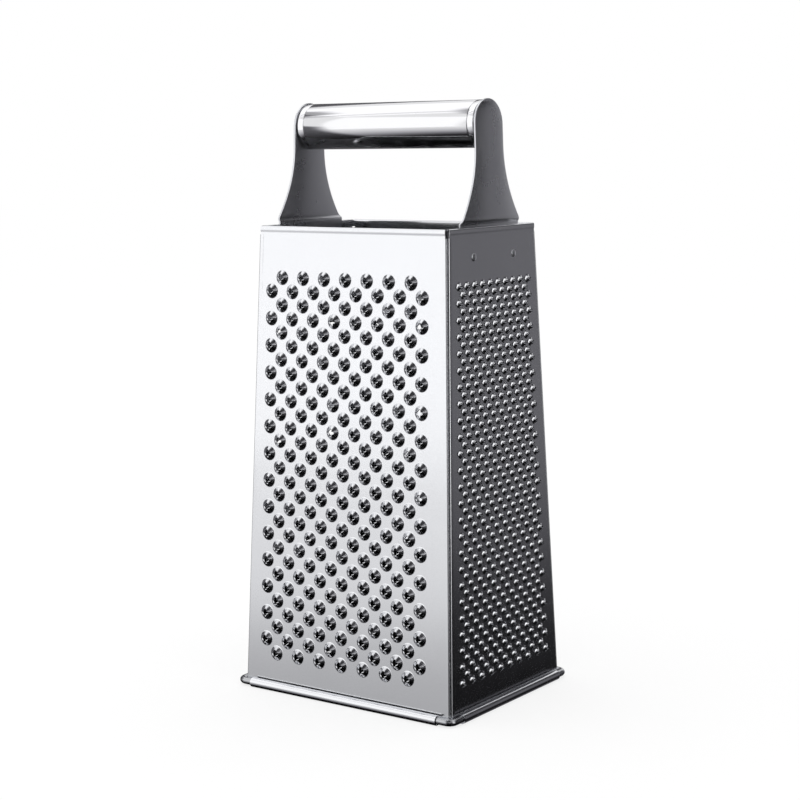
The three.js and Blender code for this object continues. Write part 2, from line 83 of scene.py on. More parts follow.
BRACKET_HEAD = TUBE_RADIUS + 0.4 * MM
BRACKET_FOOT = 20.4 * MM
RIVET_HEIGHT = RIM_HEIGHT - 11.3 * MM
RIVET_SPACING = 28 * MM


def taper(top, base):
    """Half size of the body at a height: a straight line from the rim down to the wire's middle."""
    return lambda z: (top + (base - top) * (RIM_HEIGHT - z) / (RIM_HEIGHT - WIRE_HEIGHT)) / 2


half_width = taper(TOP_WIDTH, BASE_WIDTH)
half_depth = taper(TOP_DEPTH, BASE_DEPTH)


# Sizes and finishes that a user would change

def length(name, description, default):
    """A length property in metres."""
    return bpy.props.FloatProperty(
        name=name, description=description, default=default, min=0.0, precision=5,
        unit="LENGTH", subtype="DISTANCE",
    )


def hex_colour(name, description, default):
    """A colour property given as an sRGB hex value."""
    return bpy.props.StringProperty(name=name, description=description, default=default)


def share(name, description, default):
    """A property between 0 and 1."""
    return bpy.props.FloatProperty(
        name=name, description=description, default=default, min=0.0, max=1.0, subtype="FACTOR"
    )


def lamp_power(name, description, default):
    """A lamp's power in watts."""
    return bpy.props.FloatProperty(
        name=name, description=description, default=default, min=0.0, unit="POWER"
    )


class GraterTeeth(bpy.types.PropertyGroup):
    """Sizes of the teeth"""

    crown_base: length("Crown base", "Radius where a crown tooth rises from the sheet", 2.82 * MM)
    crown_fillet: length("Crown fillet", "Width of the rounding round a crown tooth's foot", 0.4 * MM)
    crown_tip: length("Crown tip", "Height of the petal tips of a crown tooth", 1.8 * MM)
    crown_valley: length("Crown valley", "Height of the tears between the petals", 1.2 * MM)
    fine_base: length("Fine base", "Radius where a fine tooth rises from the sheet", 1.78 * MM)
    fine_tip: length("Fine tip", "Height of a fine tooth", 1.4 * MM)
    lip: length("Shredding lip", "Height of a coarse hole's cutting lip", 2.6 * MM)
    blade: length("Blade", "Height of a slicing blade", 2.2 * MM)


class GraterFinish(bpy.types.PropertyGroup):
    """Finishes of the steel"""

    sheet_colour: hex_colour("Sheet colour", "Colour of the panels", "DEDFE2")
    wire_colour: hex_colour("Wire colour", "Colour of the foot wire", "B4B5B8")
    tube_colour: hex_colour("Tube colour", "Colour of the handle tube", "E4E4E6")
    bracket_colour: hex_colour("Bracket colour", "Colour of the brackets and rivets", "D7D8DC")
    sheet_roughness: share("Sheet roughness", "Roughness of the panels", 0.16)
    tube_roughness: share("Tube roughness", "Roughness of the handle tube", 0.1)
    bracket_roughness: share("Bracket roughness", "Roughness of the brackets", 0.28)


class GraterStudio(bpy.types.PropertyGroup):
    """Lamps and room"""

    softbox: lamp_power("Softbox", "Power of the softbox at the front left", 0.9)
    overhead: lamp_power("Overhead", "Power of the softbox overhead", 1.3)
    strip: lamp_power("Strip", "Power of the narrow softbox at the right", 0.8)
    room: bpy.props.FloatProperty(
        name="Room", description="Strength of the white room on matt surfaces", default=1.0, min=0.0
    )


# Surfaces: points, faces and corner normals worked out as whole arrays

def unit(v):
    """Vectors of length one."""
    return v / np.maximum(np.linalg.norm(v, axis=-1, keepdims=True), 1e-20)


def shifted(values, step, axis, wrap):
    """The neighbour's value one step along an axis; at an open end, the value itself."""
    if step == 0:
        return values
    if wrap:
        return np.roll(values, -step, axis)
    size = values.shape[axis]
    return np.take(values, np.clip(np.arange(size) + step, 0, size - 1), axis)


def arc(centre_x, centre_y, radius, start, end, steps):
    """Points of an arc in a plane: centre plus radius times (cos, sin), both ends included."""
    angle = np.radians(np.linspace(start, end, steps + 1))
    return np.stack([centre_x + radius * np.cos(angle), centre_y + radius * np.sin(angle)], -1)


def circle(n):
    """n angles evenly round a circle, from 0."""
    return 2 * np.pi * np.arange(n) / n


def smoothstep(low, high, x):
    """0 at low, 1 at high and the cubic 3t2 - 2t3 between."""
    t = np.clip((x - low) / (high - low), 0, 1)
    return t * t * (3 - 2 * t)


class Skin:
    """The patches of one piece: their points, faces and the normal at each corner of each face."""

    def __init__(self):
        self.points, self.faces, self.normals, self.count = [], [], [], 0

    def add(self, points, faces, normals):
        """Takes faces (m, k) that index points, and corner normals (m, k, 3). A face whose corners run
        the wrong way round for its normals is turned over."""
        points = points.reshape(-1, 3)
        corners = points[faces]
        facing = np.cross(corners, np.roll(corners, -1, 1)).sum(1)
        turned = ((facing * normals.sum(1)).sum(-1) < 0)[:, None]
        faces = np.where(turned, faces[:, ::-1], faces)
        normals = np.where(turned[..., None], normals[:, ::-1], normals)
        self.points.append(points)
        self.faces.append(faces + self.count)
        self.normals.append(normals)
        self.count += len(points)

    def add_bands(self, rings, corners):
        """Rings (m, r, n, 3) of m like shapes, joined band by band, with the normals (m, r - 1, n, 4, 3) of
        each face's corners."""
        m, r, n, _ = rings.shape
        index = np.arange(m * r * n).reshape(m, r, n)
        here, there = index[:, :-1], index[:, 1:]
        faces = np.stack([here, np.roll(here, -1, 2), np.roll(there, -1, 2), there], -1)
        self.add(rings, faces.reshape(-1, 4), corners.reshape(-1, 4, 3))

    def add_flat(self, corners, normal):
        """Flat faces given by their corners (m, k, 3), all with one normal."""
        m, k, _ = corners.shape
        self.add(corners, np.arange(m * k).reshape(m, k), np.broadcast_to(normal, (m, k, 3)))

    def add_grid(self, grid, wrap_first, smooth_angle):
        """A grid (a, b, 3) of points as quads, closed along its second way. A corner's normal is the sum
        of those of the up to four quads round it that lean no more than smooth_angle from its own."""
        a, b, _ = grid.shape
        index = np.arange(a * b).reshape(a, b)
        along = np.roll(index, -1, 0) if wrap_first else index[1:]
        base = index if wrap_first else index[:-1]
        quads = np.stack([base, np.roll(base, -1, 1), np.roll(along, -1, 1), along], -1)
        corner = grid.reshape(-1, 3)[quads]
        facing = np.cross(corner[..., 2, :] - corner[..., 0, :], corner[..., 3, :] - corner[..., 1, :])
        outward = (facing * (corner.mean(2) - grid.mean((0, 1)))).sum() > 0
        facet = unit(facing if outward else -facing)
        normals = []
        for down, across in ((0, 0), (0, 1), (1, 1), (1, 0)):
            total = np.zeros_like(facet)
            for i in (down - 1, down):
                for j in (across - 1, across):
                    near = shifted(shifted(facet, i, 0, wrap_first), j, 1, True)
                    close = (near * facet).sum(-1, keepdims=True) > math.cos(math.radians(smooth_angle))
                    total = total + near * close
            normals.append(unit(total))
        self.add(grid, quads.reshape(-1, 4), np.stack(normals, 2).reshape(-1, 4, 3))

    def add_sweep(self, rings, smooth_angle=35.0):
        """A closed section carried through rings (m, k, 3), with a flat cap at each end."""
        self.add_grid(rings, False, smooth_angle)
        for cap, inward in ((rings[0], rings[1]), (rings[-1], rings[-2])):
            normal = unit(np.cross(cap, np.roll(cap, -1, 0)).sum(0))
            outward = np.sign((normal * (cap.mean(0) - inward.mean(0))).sum())
            self.add_flat(cap[None], normal * outward)


# Points that agree to this length are joined into one
WELD = 0.002 * MM


def make_piece(name, skin, material, nodes):
    """Makes the object of a skin, which stands for its nodes: joins points that coincide and sets the corner
    normals. A skin that is empty or broken is an error."""
    points = np.concatenate(skin.points)
    _, first, joined = np.unique(
        np.round(points / WELD), axis=0, return_index=True, return_inverse=True
    )
    joined = joined.reshape(-1)
    faces = [face for block in skin.faces for face in joined[block].tolist()]
    normals = np.concatenate([block.reshape(-1, 3) for block in skin.normals])
    if not faces or not np.isfinite(points).all() or not np.isfinite(normals).all():
        raise RuntimeError(f"{name} has no faces, or a point or normal that isn't a number")
    mesh = bpy.data.meshes.new(name)
    mesh.from_pydata(points[first].tolist(), [], faces)
    mesh.polygons.foreach_set("use_smooth", np.ones(len(faces), dtype=bool))
    mesh.normals_split_custom_set(unit(normals).tolist())
    mesh.materials.append(material)
    piece = bpy.data.objects.new(name, mesh)
    bpy.context.scene.collection.objects.link(piece)
    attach(piece, "root")
    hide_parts(*nodes)


# Panels, in panel coordinates: s across, z up, h out of the face

OUT = np.array([0.0, 0.0, 1.0])


class PanelSkin(Skin):
    """A skin given in panel coordinates. A point lies at (s, -(face(z) + h), z), turned about Z."""

    def __init__(self, face, turn):
        super().__init__()
        self.face = face
        self.lean = (face(0) - face(RIM_HEIGHT)) / RIM_HEIGHT
        self.spin = np.array(Matrix.Rotation(turn, 3, "Z")).T

    def add(self, points, faces, normals):
        s, z, h = np.moveaxis(points.reshape(-1, 3), -1, 0)
        across, up, out = np.moveaxis(normals, -1, 0)
        placed = np.stack([s, -(self.face(z) + h), z], -1) @ self.spin
        aimed = unit(np.stack([across, -out, up + self.lean * out], -1)) @ self.spin
        super().add(placed, faces, aimed)


# Triangles with less than half this area, in square metres, have two corners in one place
FLAT_AREA = 1e-10


class ToothField:
    """Rows of teeth on a staggered lattice. Site (u, v) lies u half pitches across and v rows down, and
    the columns fan out by a share of the taper. Teeth stand on every second site, in diamond cells whose
    corners are the sites between them. top, bottom and side are the least plain margins, shift moves the
    field across, and full_first says that the first row is a full one."""

    def __init__(self, half_span, half_pitch, fan, row_pitch, top, bottom, side, shift, full_first):
        self.half_span, self.fan = half_span, fan
        self.half_pitch, self.row_pitch, self.shift = half_pitch, row_pitch, shift
        self.first = RIM_HEIGHT - top
        self.span = 2 * half_span(RIM_HEIGHT)
        self.columns = math.floor((self.span - 2 * side) / (2 * half_pitch)) + 1
        self.rows = math.floor((self.first - bottom) / row_pitch) + 1
        across, down = np.arange(-self.columns, self.columns + 1.0), np.arange(-1.0, self.rows + 1)
        u, v = np.meshgrid(across, down)
        full = (v % 2 == 0) == full_first
        on_site = (u + self.columns + full) % 2 == 0
        inside = (abs(u) < self.columns) & (v >= 0) & (v < self.rows)
        self.teeth = np.stack([u, v], -1)[on_site & inside]
        self.blanks = np.stack([u, v], -1)[on_site & ~inside]

    def site(self, uv, height=0.0):
        """Panel coordinates of lattice points."""
        z = self.first - uv[..., 1] * self.row_pitch
        spread = 1 + self.fan * (2 * self.half_span(z) / self.span - 1)
        s = self.shift + uv[..., 0] * self.half_pitch * spread
        return np.stack([s, z, np.full_like(s, height)], -1)

    def diamond(self, centres, n):
        """n lattice points round each centre's cell, anticlockwise from its right corner."""
        t = np.arange(n) * 4 / n
        u = 1 - np.where(t < 2, t, 4 - t)
        v = np.where(t < 2, abs(1 - t) - 1, 1 - abs(3 - t))
        return centres[:, None] + np.stack([u, v], -1)

    def blank_fans(self, n, height):
        """Triangles of the half cells along the field's edge, which hold no tooth."""
        low, high = np.array([-self.columns, -1]), np.array([self.columns, self.rows])
        ring = self.site(np.clip(self.diamond(self.blanks, n), low, high), height)
        middle = np.broadcast_to(self.site(self.blanks, height)[:, None], ring.shape)
        fans = np.stack([middle, ring, np.roll(ring, -1, 1)], 2).reshape(-1, 3, 3)
        area = np.linalg.norm(np.cross(fans[:, 1] - fans[:, 0], fans[:, 2] - fans[:, 0]), axis=-1)
        return fans[area > FLAT_AREA]


def band_normals(rings):
    """Corner normals (m, r - 1, n, 4, 3) of the bands between rings (m, r, n, 3): the way round the ring
    crossed with the way to the next ring. The first and last bands are flat. From the first ring of the
    tooth up to its torn edge the normals are smooth, and the edge and the inside have their own."""
    around = np.roll(rings, -1, 2) - np.roll(rings, 1, 2)
    step = rings[:, 1:] - rings[:, :-1]
    first, second = unit(np.cross(around[:, :-1], step)), unit(np.cross(around[:, 1:], step))
    first[:, 0] = second[:, 0] = first[:, 1] = OUT
    first[:, -1] = second[:, -1] = -OUT
    edge = rings.shape[1] - 4
    second[:, 1:edge - 1] = first[:, 2:edge] = unit(second[:, 1:edge - 1] + first[:, 2:edge])
    return np.stack([first, np.roll(first, -1, 2), np.roll(second, -1, 2), second], 3)


def ellipse_rings(n, sizes):
    """Rings of n points, anticlockwise from the right: each size is (radius across, radius up, height)."""
    angle = circle(n)
    return np.stack([
        np.stack(np.broadcast_arrays(across * np.cos(angle), up * np.sin(angle), height), -1)
        for across, up, height in sizes
    ])


def burst_rings(n, fillet, foot, waist, tip, valley, edge, back):
    """Rings of a burst tooth about its middle: the fillet's start, the foot, the waist, the torn edge outside
    and inside, and the hole behind. foot, waist and tip are (radius, height). Four petals rise from tears at
    the sides, top and bottom to tips between them, and each edge point lies on the wall from waist to tip.
    The torn edge is as wide as edge and slopes inwards."""
    petals, slope = 4, 0.4
    petal = 1 - abs((petals * np.arange(n) / n) % 1 * 2 - 1)
    crown = valley + (tip[1] - valley) * petal
    reach = waist[0] + (tip[0] - waist[0]) * (crown - waist[1]) / (tip[1] - waist[1])
    sizes = [
        (foot[0] + fillet, 0.0), foot, waist, (reach, crown), (reach - edge, crown - slope * edge),
        (back, -SHEET),
    ]
    return ellipse_rings(n, [(radius, radius, height) for radius, height in sizes])


def lipped_rings(n, half_s, half_z, fillet, inset, low, lip, edge, back, lean):
    """Rings of a shredding hole: an ellipse whose rim rises from low at its upper side to a lip at its
    lower side, by a smooth step of the way down, and leans up over the hole there. The other sizes are steps
    in from the ellipse: the fillet's width, the rim's inset, the edge's width and the hole behind."""
    down = smoothstep(-0.4, 1.0, -np.sin(circle(n)))
    crown = low + lip * down
    foot = 0.3 * low + 0.12 * crown
    slope = 0.2
    sizes = [
        (-fillet, 0.0), (0.0, foot), (inset, crown), (inset + edge, crown - slope * edge), (back, -SHEET),
    ]
    rings = ellipse_rings(n, [(half_s - step, half_z - step, height) for step, height in sizes])
    rings[2:4, :, 1] += lean * down
    return rings


def add_margins(skin, sides, ends, edge_line, top, low):
    """The plain sheet between a pattern's edge and the folds: outside, inside and its cut edge. sides holds
    the lines down the pattern's left and right edge, ends the lines along its top and bottom."""
    def band(near, far):
        for height, normal in ((0.0, OUT), (-SHEET, -OUT)):
            corners = np.stack([near[:-1], far[:-1], far[1:], near[1:]], 1)
            skin.add_flat(corners + height * OUT, normal)

    def cut(line, normal):
        deep = line - SHEET * OUT
        skin.add_flat(np.stack([line[:-1], line[1:], deep[1:], deep[:-1]], 1), np.array(normal))

    for side, near in zip((-1, 1), sides):
        far = near.copy()
        far[:, 0] = side * edge_line(near[:, 1])
        band(near, far)
        cut(far, (side, 0.0, 0.0))
    for level, way, line in zip((top, low), (1, -1), ends):
        near = line[[0, *range(len(line)), -1]]
        near[[0, -1], 0] = edge_line(near[0, 1]) * np.array([-1, 1])
        far = near.copy()
        far[:, 0] *= edge_line(level) / edge_line(near[:, 1])
        far[:, 1] = level
        band(near, far)
        cut(far, (0.0, way, 0.0))
        for side, place in ((-1, 0), (1, -1)):
            cut(np.stack([near[place], far[place]]), (side, 0.0, 0.0))


def add_toothed_sheet(skin, field, shape, edge_line, top, low):
    """The sheet with its teeth: a diamond cell round each tooth outside and inside, the half cells along
    the field's edge, and the margins."""
    n = shape.shape[1]
    cell = field.diamond(field.teeth, n)
    centres = field.site(field.teeth)[:, None, None]
    rings = np.concatenate([field.site(cell)[:, None], centres + shape, field.site(cell, -SHEET)[:, None]], 1)
    skin.add_bands(rings, band_normals(rings))
    skin.add_flat(field.blank_fans(n, 0.0), OUT)
    skin.add_flat(field.blank_fans(n, -SHEET), -OUT)
    v, u = np.arange(-1.0, field.rows + 1), np.arange(-field.columns, field.columns + 1.0)
    sides = [field.site(np.stack([np.full_like(v, side * field.columns), v], -1)) for side in (-1, 1)]
    ends = [field.site(np.stack([u, np.full_like(u, row)], -1)) for row in (-1, field.rows)]
    add_margins(skin, sides, ends, edge_line, top, low)


def add_slotted_sheet(skin, blade, edge_line, top, low):
    """The slicing sheet: round each slot a rectangular cell, the slot's foot, its raised edge with the
    arched blade that leans up over it from its lower side, and the opening behind. A point of the unit
    square's edge goes to the rounded rectangle of a ring by its nearest point on the rectangle of the
    corners' centres."""
    half_s, half_z, corner, lean = 21 * MM, 4.2 * MM, 1.8 * MM, 4.7 * MM
    cell_s, first, pitch, slots = 24 * MM, 46 * MM, 46 * MM, 3
    heights = RIM_HEIGHT - first - pitch * np.arange(slots)
    steps_up, steps_across = 6, 20
    tall, wide = np.linspace(-1, 1, steps_up + 1), np.linspace(-1, 1, steps_across + 1)
    a = np.concatenate([np.ones(steps_up), -wide[:-1], -np.ones(steps_up), wide[:-1]])
    b = np.concatenate([tall[:-1], np.ones(steps_across), -tall[:-1], -np.ones(steps_across)])
    arch = smoothstep(0.0, 1.0, -b) * np.sqrt(1 - a**8)

    def ring(inset, height, sag=0.0):
        across, up = half_s - inset, half_z - inset
        point = np.stack([a * across, b * up], -1)
        centre = np.clip(point, (corner - across, corner - up), (across - corner, up - corner))
        s, z = np.moveaxis(centre + corner * unit(point - centre), -1, 0)
        return np.stack(np.broadcast_arrays(s, z - sag * arch, height), -1)

    crown = 0.35 * MM + blade * arch
    shape = np.stack([
        ring(-0.8 * MM, 0.0, 2.5 * MM), ring(0.0, 0.15 * MM + 0.12 * crown, 1.8 * MM),
        ring(1.0 * MM, crown, -lean), ring(1.3 * MM, crown - 0.08 * MM, -lean), ring(0.5 * MM, -SHEET),
    ])
    centres = np.stack(np.broadcast_arrays(0.0, heights, 0.0), -1)[:, None]
    cell = centres + np.stack([a * cell_s, b * pitch / 2, 0 * a], -1)
    rings = np.concatenate([cell[:, None], centres[:, None] + shape, cell[:, None] - SHEET * OUT], 1)
    skin.add_bands(rings, band_normals(rings))
    levels = np.unique(np.round((heights[:, None] + tall * pitch / 2).ravel(), 7))[::-1]
    sides = [np.stack(np.broadcast_arrays(side * cell_s, levels, 0.0), -1) for side in (-1, 1)]
    ends = [np.stack(np.broadcast_arrays(wide * cell_s, level, 0.0), -1) for level in levels[[0, -1]]]
    add_margins(skin, sides, ends, edge_line, top, low)


def hem_section(return_length, lead, gap, bead):
    """Section of a folded hem as (along, depth): out along the sheet, round the fold whose outermost point
    is at along 0, and back along the return leg. bead is the run of points before the fold."""
    middle, rise = SHEET + gap / 2, -bead[-1][1]
    radius = middle + rise
    outer = arc(-radius, middle, radius, -90, 90, 10)
    inner = arc(-radius, middle, gap / 2, 90, -90, 6)
    leg = middle + radius
    return np.concatenate([
        [(-lead, 0.0)], bead, outer, [(-return_length, leg), (-return_length, middle + gap / 2)],
        inner, [(-lead, SHEET)],
    ])


def flange_section():
    """Section of a square flange with a rounded bend, whose outer side is at along 0."""
    r = BEND_RADIUS
    return np.concatenate([
        [(-r - FLAT_LEAD, 0.0)], arc(-r, r, r, -90, 0, 8), [(0.0, FLANGE_LENGTH), (-SHEET, FLANGE_LENGTH)],
        arc(-r, r, r - SHEET, 0, -90, 8), [(-r - FLAT_LEAD, SHEET)],
    ])


def add_folds(skin, half_span, edge_section, edge_line, bead_height):
    """The folds round a panel: the beaded rim hem, an edge strip on each side, the curl over the foot
    wire, and the short tabs of sheet beside the curl. Returns the sheet's edge line, top and bottom."""
    face = skin.face
    lead = -edge_section[0, 0]
    sheet_edge = lambda z: edge_line(z) - lead

    # The rim: a shallow groove, then the bead and the fold
    along = np.array([-3.3, -3.0, -2.7, -2.3, -1.9, -1.5, -1.0]) * MM
    crest = np.array([0.0, -0.3, -0.4, -0.1, 0.5, 0.9, 1.0]) * bead_height
    bead = np.stack([along, -crest], -1)
    rim = hem_section(return_length=3 * MM, lead=RIM_LEAD, gap=HEM_GAP, bead=bead)
    top, low = RIM_HEIGHT - RIM_LEAD, WIRE_HEIGHT + FLAT_LEAD
    end = edge_line(RIM_HEIGHT) - CORNER_NOTCH
    s = np.linspace(-end, end, 25)[:, None]
    skin.add_sweep(np.stack(np.broadcast_arrays(s, RIM_HEIGHT + rim[:, 0], -rim[:, 1]), -1))

    # The edge strips
    z = np.linspace(WIRE_HEIGHT, top, 33)[:, None]
    for side in (-1, 1):
        across = side * (edge_line(z) + edge_section[:, 0])
        skin.add_sweep(np.stack(np.broadcast_arrays(across, z, -edge_section[:, 1]), -1))

    # The curl, which leaves the sheet at 180 degrees and goes on round the wire to 465
    start, close = 180, 465
    centre = face(WIRE_HEIGHT) + CURL_INNER
    curl = np.concatenate([
        [(face(low), low)], arc(centre, WIRE_HEIGHT, CURL_INNER, start, close, 30),
        arc(centre, WIRE_HEIGHT, CURL_OUTER, close, start, 30), [(face(low) - SHEET, low)],
    ])
    end = half_span(WIRE_HEIGHT) - CURL_CUT
    s = np.linspace(-end, end, 25)[:, None]
    out, up = curl[:, 0], curl[:, 1]
    skin.add_sweep(np.stack(np.broadcast_arrays(s, up, out - face(up)), -1))

    # The tabs
    tab = np.array([(WIRE_HEIGHT, 0.0), (low, 0.0), (low, -SHEET), (WIRE_HEIGHT, -SHEET)])
    for side in (-1, 1):
        s = side * np.array([end, sheet_edge(WIRE_HEIGHT)])[:, None]
        skin.add_sweep(np.stack(np.broadcast_arrays(s, tab[:, 0], tab[:, 1]), -1))
    return sheet_edge, top, low


def wide_panel(turn):
    """A wide panel's skin with its folds: hemmed edges set in a little from the body's corner."""
    skin = PanelSkin(half_depth, turn)
    flat = np.array([(-1.9 * MM, 0.0)])
    edge_hem = hem_section(return_length=EDGE_HEM_DEPTH, lead=2 * MM, gap=EDGE_GAP, bead=flat)
    edge_line = lambda z: half_width(z) - SEAM_INSET
    return skin, *add_folds(skin, half_width, edge_hem, edge_line, bead_height=0.18 * MM)


def narrow_panel(turn):
    """A narrow panel's skin with its folds: flanges that lie behind the wide panels' hems."""
    skin = PanelSkin(half_width, turn)
    edge_line = lambda z: half_depth(z) - SEAM_SETBACK
    return skin, *add_folds(skin, half_depth, flange_section(), edge_line, bead_height=0.15 * MM)


# Finishes

def linear(hex_value):
    """An sRGB hex value as linear red, green, blue and alpha."""
    srgb = np.array([int(hex_value[i:i + 2], 16) for i in (0, 2, 4)]) / 255
    return (*np.where(srgb <= 0.04045, srgb / 12.92, ((srgb + 0.055) / 1.055) ** 2.4), 1.0)


def add_node(tree, kind, inputs=None, **settings):
    """Adds one node with its settings; each input takes a value or another node's output."""
    made = tree.nodes.new(kind)
    for name, value in settings.items():
        setattr(made, name, value)
    for name, value in (inputs or {}).items():
        if isinstance(value, bpy.types.NodeSocket):
            tree.links.new(value, made.inputs[name])
        else:
            made.inputs[name].default_value = value
    return made


def blank_material(name):
    """A new material and its tree, which has no nodes yet."""
    material = bpy.data.materials.new(name)
    material.use_nodes = True
    material.node_tree.nodes.clear()
    return material, material.node_tree


# Sizes of the smears on the steel and of the slow waves in it
SMEAR_SIZE, WAVE_SIZE = 22 * MM, 38 * MM


def steel(name, colour, roughness, grain, grain_size, grain_share, dent_depth):
    """A stainless steel. grain stretches the lines left by rolling or drawing along an axis, grain_size is
    their spacing, grain_share how much they change the roughness, and dent_depth the depth of the slow
    waves in the surface. The real lines are too fine to show, so they are drawn coarser."""
    material, tree = blank_material(name)
    place = add_node(tree, "ShaderNodeTexCoord").outputs["Object"]
    along = add_node(tree, "ShaderNodeMapping", {"Vector": place, "Scale": grain}).outputs["Vector"]
    lines = add_node(tree, "ShaderNodeTexNoise", {"Vector": along, "Scale": 1 / grain_size, "Detail": 3.0})
    smears = add_node(tree, "ShaderNodeTexNoise", {"Vector": place, "Scale": 1 / SMEAR_SIZE, "Detail": 4.0})
    polish = add_node(tree, "ShaderNodeMapRange", {
        "Value": smears.outputs["Fac"], "From Min": 0.3, "From Max": 0.7,
        "To Min": roughness * 0.85, "To Max": roughness * 1.2,
    })
    scratch = add_node(tree, "ShaderNodeMapRange", {
        "Value": lines.outputs["Fac"], "From Min": 0.3, "From Max": 0.7,
        "To Min": 1 - grain_share, "To Max": 1 + grain_share,
    })
    both = {0: polish.outputs["Result"], 1: scratch.outputs["Result"]}
    rough = add_node(tree, "ShaderNodeMath", both, operation="MULTIPLY")
    bright = linear(colour)
    dull = [channel * 0.95 for channel in bright[:3]] + [1]
    tones = {"Factor": smears.outputs["Fac"], "A": dull, "B": bright}
    worn = add_node(tree, "ShaderNodeMix", tones, data_type="RGBA")
    surface = {"Base Color": worn.outputs["Result"], "Metallic": 1.0, "Roughness": rough.outputs[0]}
    if dent_depth:
        waves = add_node(tree, "ShaderNodeTexNoise", {"Vector": place, "Scale": 1 / WAVE_SIZE, "Detail": 1.0})
        height = {"Height": waves.outputs["Fac"], "Strength": 1.0, "Distance": dent_depth}
        surface["Normal"] = add_node(tree, "ShaderNodeBump", height).outputs["Normal"]
    shader = add_node(tree, "ShaderNodeBsdfPrincipled", surface)
    add_node(tree, "ShaderNodeOutputMaterial", {"Surface": shader.outputs["BSDF"]})
    return material


def sheet_steel(finish):
    """Bright rolled stainless sheet: a soft mirror with faint rolling lines and slow waves."""
    name = "bright_rolled_stainless"
    return bpy.data.materials.get(name) or steel(
        name, finish.sheet_colour, finish.sheet_roughness,
        grain=(1, 1, 0.03), grain_size=0.6 * MM, grain_share=0.04, dent_depth=0.03 * MM,
    )


def wire_steel(finish):
    """Drawn stainless wire: duller, with lines left by the die."""
    return steel(
        "drawn_stainless_wire", finish.wire_colour, roughness=0.24,
        grain=(0.1, 0.1, 1), grain_size=0.5 * MM, grain_share=0.08, dent_depth=0.02 * MM,
    )


def tube_steel(finish):
    """Polished stainless tube: a mirror with faint lines along it."""
    return steel(
        "polished_stainless_tube", finish.tube_colour, finish.tube_roughness,
        grain=(0.03, 1, 1), grain_size=0.5 * MM, grain_share=0.06, dent_depth=0.02 * MM,
    )


def strip_steel(finish):
    """Satin stainless strip: an even grey sheen."""
    name = "satin_stainless_strip"
    return bpy.data.materials.get(name) or steel(
        name, finish.bracket_colour, finish.bracket_roughness,
        grain=(1, 1, 0.05), grain_size=0.5 * MM, grain_share=0.02, dent_depth=0.0,
    )


# Operators

class GraterOperator:
    """What the grater's operators share."""

    bl_options = {"REGISTER", "UNDO"}


class GRATER_OT_front_panel(GraterOperator, bpy.types.Operator):
    """Builds the front panel with its burst crown teeth"""

    bl_idname = "grater.front_panel"
    bl_label = "Crown-tooth panel"

    def execute(self, context):
        teeth, finish = context.scene.grater_teeth, context.scene.grater_finish
        skin, *sheet = wide_panel(0.0)
        field = ToothField(
            half_width, half_pitch=5.2 * MM, fan=0.45, row_pitch=5.44 * MM, top=20.3 * MM, bottom=11 * MM,
            side=8 * MM, shift=-1.8 * MM, full_first=False,
        )
        shape = burst_rings(
            n=16, fillet=teeth.crown_fillet, foot=(teeth.crown_base, 0.25 * MM), waist=(1.9 * MM, 1.03 * MM),
            tip=(1.05 * MM, teeth.crown_tip), valley=teeth.crown_valley, edge=0.3 * MM, back=2.3 * MM,
        )
        add_toothed_sheet(skin, field, shape, *sheet)
        make_piece("crown_tooth_panel", skin, sheet_steel(finish), ["front_panel"])
        return {"FINISHED"}


class GRATER_OT_right_panel(GraterOperator, bpy.types.Operator):
    """Builds the right panel with its fine burst teeth"""

    bl_idname = "grater.right_panel"
    bl_label = "Fine-tooth panel"

    def execute(self, context):
        teeth, finish = context.scene.grater_teeth, context.scene.grater_finish
        skin, *sheet = narrow_panel(math.pi / 2)
        field = ToothField(
            half_depth, half_pitch=2.59 * MM, fan=1.15, row_pitch=3.16 * MM, top=21.85 * MM, bottom=13 * MM,
            side=7 * MM, shift=-0.4 * MM, full_first=True,
        )
        shape = burst_rings(
            n=8, fillet=0.16 * MM, foot=(teeth.fine_base, 0.1 * MM), waist=(1.1 * MM, 0.56 * MM),
            tip=(0.65 * MM, teeth.fine_tip), valley=0.95 * MM, edge=0.16 * MM, back=1.3 * MM,
        )
        add_toothed_sheet(skin, field, shape, *sheet)
        make_piece("fine_tooth_panel", skin, sheet_steel(finish), ["right_panel"])
        return {"FINISHED"}


class GRATER_OT_back_panel(GraterOperator, bpy.types.Operator):
    """Builds the back panel with its coarse shredding holes"""

    bl_idname = "grater.back_panel"
    bl_label = "Shredding panel"

    def execute(self, context):
        teeth, finish = context.scene.grater_teeth, context.scene.grater_finish
        skin, *sheet = wide_panel(math.pi)
        field = ToothField(
            half_width, half_pitch=8.4 * MM, fan=0.45, row_pitch=18 * MM, top=27.3 * MM, bottom=18 * MM,
            side=8 * MM, shift=-1 * MM, full_first=False,
        )
        shape = lipped_rings(
            n=32, half_s=4.7 * MM, half_z=3.7 * MM, fillet=0.9 * MM, inset=1.1 * MM, low=0.4 * MM,
            lip=teeth.lip, edge=0.35 * MM, back=0.6 * MM, lean=1.3 * MM,
        )
        add_toothed_sheet(skin, field, shape, *sheet)
        make_piece("shredding_panel", skin, sheet_steel(finish), ["back_panel"])
        return {"FINISHED"}


class GRATER_OT_left_panel(GraterOperator, bpy.types.Operator):
    """Builds the left panel with its slicing slots"""

    bl_idname = "grater.left_panel"
    bl_label = "Slicing panel"

    def execute(self, context):
        teeth, finish = context.scene.grater_teeth, context.scene.grater_finish
        skin, *sheet = narrow_panel(-math.pi / 2)
        add_slotted_sheet(skin, teeth.blade, *sheet)
        make_piece("slicing_panel", skin, sheet_steel(finish), ["left_panel"])
        return {"FINISHED"}


